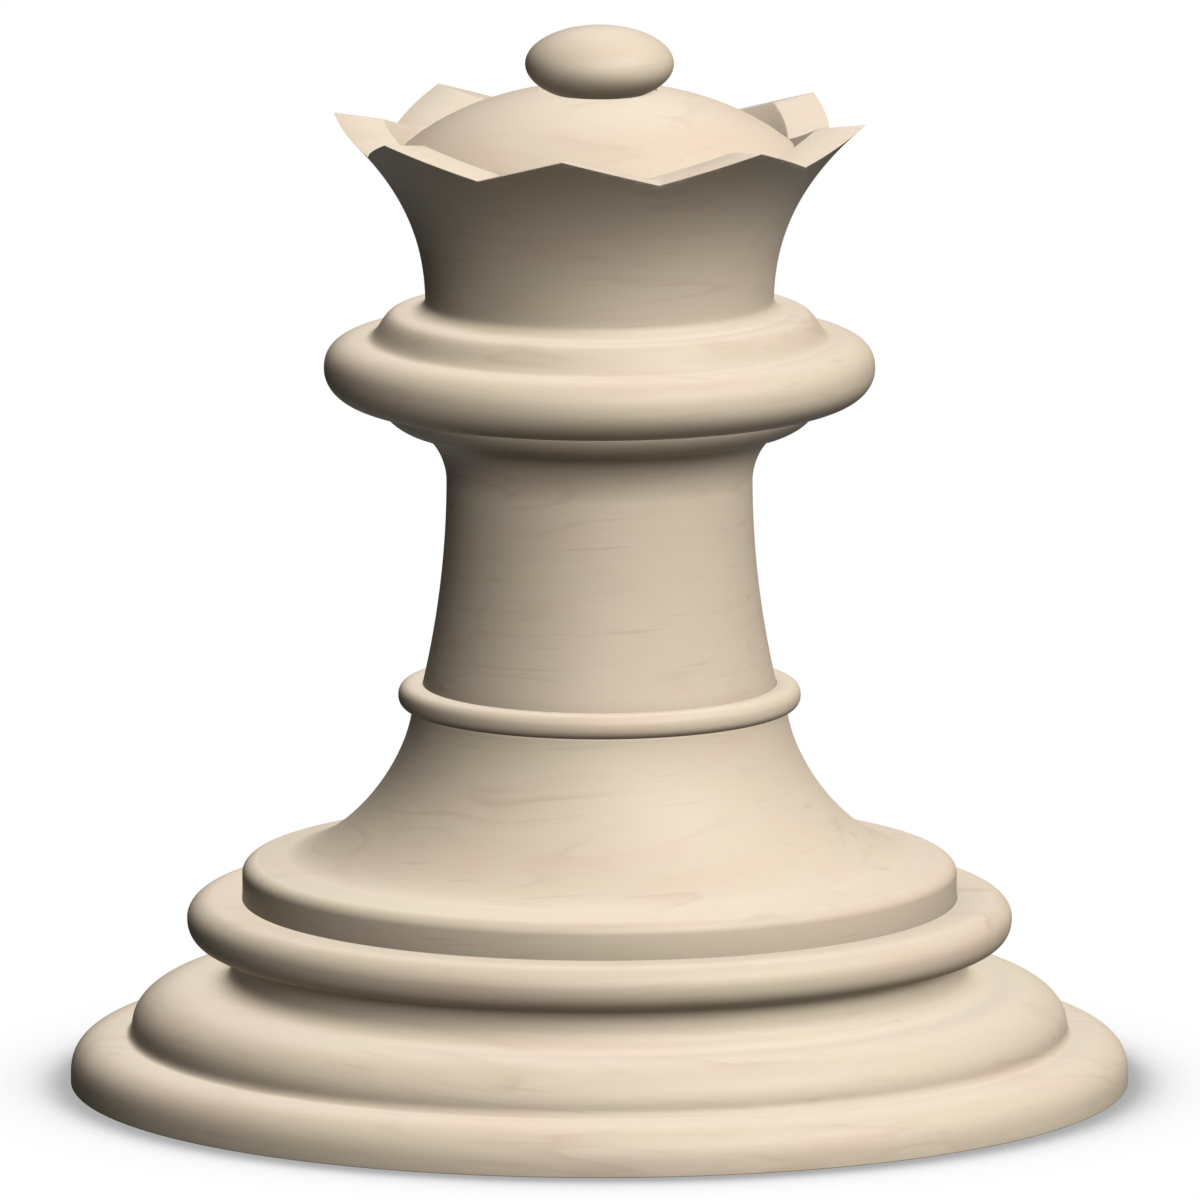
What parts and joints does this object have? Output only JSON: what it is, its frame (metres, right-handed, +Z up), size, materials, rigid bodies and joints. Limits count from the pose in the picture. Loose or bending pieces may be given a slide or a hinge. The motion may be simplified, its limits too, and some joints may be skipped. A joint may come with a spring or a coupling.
{
  "type": "chess queen",
  "caption": "Turned wooden chess queen: stepped foot, flared pedestal, collared stem, pointed coronet with dome and ball finial, built up from spigoted sections over a weighted, felted base.",
  "frame": {"origin": "centre of the felt pad's underside, on the surface that the piece stands on", "axes": "+Z up along the turning axis, -Y towards the front with one coronet point on it, +X to the right seen from the front"},
  "size_m": [0.084, 0.084, 0.085],
  "materials": {
    "maple": "satin lacquer over pale maple",
    "plug_wood": "raw wood",
    "steel": "sawn and faced bar",
    "felt": "short-pile felt"
  },
  "bodies": {
    "root": {"felt_pad": "felt", "weight_plug": "plug_wood", "base_weight": "steel", "foot": "maple", "base_ring": "maple", "pedestal": "maple", "bead_ring": "maple", "stem": "maple", "collar": "maple", "coronet": "maple", "dome": "maple", "finial": "maple"}
  },
  "joints": []
}
